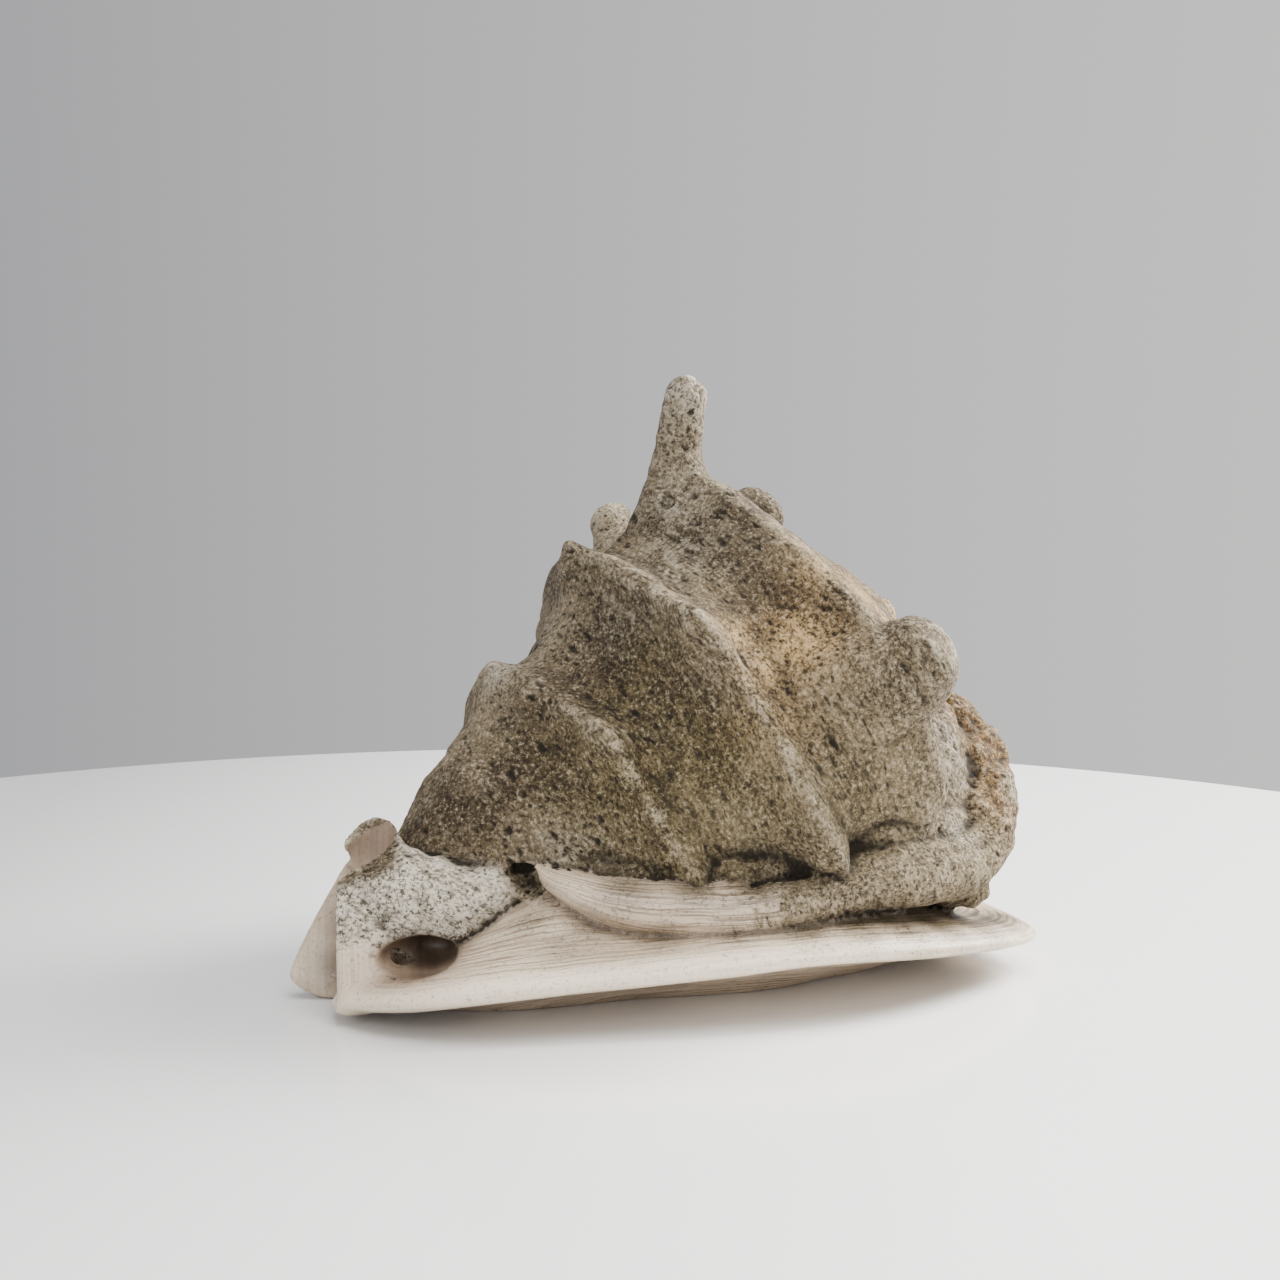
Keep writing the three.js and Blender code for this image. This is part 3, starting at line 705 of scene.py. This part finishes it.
shell.data.transform(Matrix.Translation(Vector(FRAME_SHIFT)))
shell.data.transform(Matrix.Scale(MM, 4))
TRIANGLES = 194000
thin = shell.modifiers.new("thin", "DECIMATE")
thin.ratio = min(1.0, TRIANGLES / (2 * len(shell.data.polygons)))
baked(shell)
shell.data.polygons.foreach_set("use_smooth", np.ones(len(shell.data.polygons), dtype=bool))

# The finish of the shell: chalk, speckled and stained, which gives way to cream porcelain with fine growth
# lines on the lips and the shield; painted shade darkens its hollows, the channel and the pit.
chalk = bpy.data.materials.new("weathered shell")
chalk.use_nodes = True
nodes, links = chalk.node_tree.nodes, chalk.node_tree.links
shader = nodes["Principled BSDF"]


def put(value, socket):
    """Sets a socket to a number or a colour, or links another socket to it."""
    if isinstance(value, tuple):
        socket.default_value = (*value, 1.0)
    elif isinstance(value, (int, float)):
        socket.default_value = value
    else:
        links.new(value, socket)


def attribute(label):
    """The value the mesh carries under that name."""
    node = nodes.new("ShaderNodeAttribute")
    node.attribute_name = label
    return node.outputs["Fac"]


def span(source, low, high, to_low=0.0, to_high=1.0):
    """The source between low and high carried on to between to_low and to_high, and held at the ends."""
    node = nodes.new("ShaderNodeMapRange")
    ends = ((low, "From Min"), (high, "From Max"), (to_low, "To Min"), (to_high, "To Max"))
    for value, name in ((source, "Value"), *ends):
        put(value, node.inputs[name])
    return node.outputs["Result"]


def blend(amount, first, second):
    """The first colour where the amount is 0 and the second where it is 1."""
    node = nodes.new("ShaderNodeMix")
    node.data_type = "RGBA"
    for value, socket in ((amount, 0), (first, 6), (second, 7)):
        put(value, node.inputs[socket])
    return node.outputs[2]


def sums(operation, first, second):
    """Two values put together by the operation named, held between 0 and 1."""
    node = nodes.new("ShaderNodeMath")
    node.operation = operation
    node.use_clamp = True
    put(first, node.inputs[0])
    put(second, node.inputs[1])
    return node.outputs[0]


def noise(vector, scale, detail=4.0, roughness=0.6):
    """Cloudy noise, so many clouds to a unit of length."""
    node = nodes.new("ShaderNodeTexNoise")
    node.inputs["Scale"].default_value = scale
    node.inputs["Detail"].default_value = detail
    node.inputs["Roughness"].default_value = roughness
    links.new(vector, node.inputs["Vector"])
    return node.outputs["Fac"]


def stretched(vector, scale):
    """The same place measured with a different length along each axis."""
    node = nodes.new("ShaderNodeMapping")
    node.inputs["Scale"].default_value = scale
    links.new(vector, node.inputs["Vector"])
    return node.outputs["Vector"]


place = nodes.new("ShaderNodeTexCoord").outputs["Object"]
grain_node = nodes.new("ShaderNodeAttribute")
grain_node.attribute_name = "grain"
round_shell = stretched(grain_node.outputs["Vector"], (1.0, 0.42, 1.0))

patches = noise(place, 26.0, 5.0, 0.6)
mottle = noise(round_shell, 0.33, 4.0, 0.7)
salt = noise(place, 760.0, 3.0, 0.8)
flecks = noise(round_shell, 0.85, 3.0, 0.75)
cells = nodes.new("ShaderNodeTexVoronoi")
cells.inputs["Scale"].default_value = 0.50
cells.inputs["Randomness"].default_value = 1.0
links.new(round_shell, cells.inputs["Vector"])
cell_number = nodes.new("ShaderNodeSeparateColor")
links.new(cells.outputs["Color"], cell_number.inputs["Color"])
pit_shape = span(cells.outputs["Distance"], 0.36, 0.16)
pit_choice = span(cell_number.outputs["Red"], 0.45, 0.6)
small_pits = sums("MULTIPLY", sums("MULTIPLY", pit_shape, pit_choice), span(patches, 0.40, 0.58, 0.15, 1.0))
broad_patches = noise(place, 11.0, 3.0, 0.5)
crowding = span(patches, 0.42, 0.60, 0.15, 1.0)
thin_out = span(patches, 0.62, 0.42, 0.25, 1.0)
gritty = span(patches, 0.66, 0.40, 0.5, 1.0)
green = blend(span(mottle, 0.36, 0.60), (0.110, 0.085, 0.034), (0.270, 0.222, 0.115))
gold = blend(span(mottle, 0.36, 0.60), (0.080, 0.053, 0.023), (0.300, 0.186, 0.060))


def covered(base, layers):
    """The base colour with each layer (how much of it shows, its colour) laid over it in turn."""
    for amount, colour in layers:
        base = blend(sums("MULTIPLY", *amount) if isinstance(amount, list) else amount, base, colour)
    return base


chalky = covered(
    blend(span(patches, 0.38, 0.60), (0.105, 0.074, 0.038), (0.290, 0.238, 0.160)),
    (
        (span(broad_patches, 0.44, 0.62, 0.0, 0.55), (0.390, 0.335, 0.245)),
        (span(mottle, 0.46, 0.64, 0.0, 0.50), (0.400, 0.345, 0.255)),
        ([attribute("olive"), 0.85], green),
        # Umber: the shell's brown blotches together with painted shade on the shaded side.
        ([attribute("umber_and_shade"), span(patches, 0.3, 0.6, 0.85, 0.5)], (0.085, 0.056, 0.029)),
        ([attribute("ochre"), span(mottle, 0.30, 0.60, 0.5, 1.0)], (0.720, 0.540, 0.310)),
        ([attribute("broken"), 0.9], gold),
        ([span(attribute("wear_and_shade"), 0.12, 0.75), span(mottle, 0.40, 0.58, 0.15, 0.70)], (0.600, 0.540, 0.435)),
        ([attribute("bleached"), span(mottle, 0.40, 0.58, 0.2, 0.9)], (0.600, 0.570, 0.515)),
        ([attribute("white"), span(mottle, 0.34, 0.52, 0.35, 1.0)], (0.740, 0.690, 0.600)),
        ([span(flecks, 0.56, 0.66, 0.0, 0.50), crowding], (0.620, 0.560, 0.450)),
        ([span(flecks, 0.46, 0.37, 0.0, 0.75), thin_out], (0.050, 0.035, 0.017)),
        ([span(salt, 0.49, 0.39, 0.0, 0.85), gritty], (0.035, 0.025, 0.012)),
        (span(salt, 0.56, 0.66, 0.0, 0.55), (0.660, 0.600, 0.490)),
        # Painted shade: the hollows darkened nearly to black.
        (span(attribute("wear_and_shade"), -0.06, -0.8, 0.0, 0.85), (0.030, 0.022, 0.011)),
        ([sums("MAXIMUM", attribute("pitted"), small_pits), 0.70], (0.022, 0.016, 0.009)),
    ),
)

along_rim = nodes.new("ShaderNodeCombineXYZ")
links.new(attribute("lines"), along_rim.inputs["X"])
reach = nodes.new("ShaderNodeSeparateXYZ")
links.new(place, reach.inputs["Vector"])
sideways = nodes.new("ShaderNodeMath")
sideways.operation = "MULTIPLY"
sideways.inputs[1].default_value = 22.0
links.new(reach.outputs["X"], sideways.inputs[0])
links.new(sideways.outputs["Value"], along_rim.inputs["Y"])
striae = noise(along_rim.outputs["Vector"], 1.1, 5.0, 0.75)
porcelain = covered(
    blend(span(striae, 0.37, 0.53), (0.215, 0.152, 0.094), (0.760, 0.650, 0.520)),
    (
        (span(broad_patches, 0.50, 0.38, 0.0, 0.35), (0.420, 0.330, 0.240)),
        ([attribute("white"), 0.85], (0.880, 0.790, 0.660)),
        ([span(salt, 0.44, 0.32), 0.5], (0.180, 0.140, 0.100)),
        # A dark pinkish brown: the inner layer's colour together with painted shade in the channel and the
        # pit.
        ([attribute("pink_layer_and_shade"), 0.85], (0.215, 0.140, 0.100)),
        # Painted shade: the hollows of the porcelain darkened.
        (span(attribute("wear_and_shade"), -0.2, -1.0, 0.0, 0.7), (0.120, 0.085, 0.060)),
        ([attribute("soiled"), span(striae, 0.62, 0.46, 0.55, 1.0)], (0.125, 0.100, 0.060)),
        ([attribute("soiled"), span(salt, 0.48, 0.38, 0.0, 0.8)], (0.070, 0.050, 0.026)),
        # Painted shade: the deep pit and the channel darkened nearly to black.
        (attribute("painted_pit_shade"), (0.030, 0.020, 0.014)),
    ),
)


def deepened(colour, power):
    """The colour raised to a power, which darkens it and makes it richer."""
    node = nodes.new("ShaderNodeGamma")
    node.inputs["Gamma"].default_value = power
    links.new(colour, node.inputs["Color"])
    return node.outputs["Color"]


worn_through = sums("ADD", attribute("polish"), span(mottle, 0.35, 0.65, -0.25, 0.25))
smooth_share = span(worn_through, 0.35, 0.65)
surface_colour = blend(smooth_share, deepened(chalky, 1.5), deepened(porcelain, 1.35))
links.new(surface_colour, shader.inputs["Base Color"])
links.new(span(smooth_share, 0.0, 1.0, 0.9, 0.42), shader.inputs["Roughness"])
shader.inputs["Specular IOR Level"].default_value = 0.35
bump = nodes.new("ShaderNodeBump")
bump.inputs["Distance"].default_value = 0.0009
links.new(span(smooth_share, 0.0, 1.0, 0.9, 0.10), bump.inputs["Strength"])
relief = sums("ADD", sums("MULTIPLY", mottle, 0.45), sums("MULTIPLY", salt, 0.45))
links.new(sums("SUBTRACT", relief, sums("MULTIPLY", small_pits, 0.5)), bump.inputs["Height"])
links.new(bump.outputs["Normal"], shader.inputs["Normal"])
shell.data.materials.clear()
shell.data.materials.append(chalk)
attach(shell, "root")
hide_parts("helmet_shell")
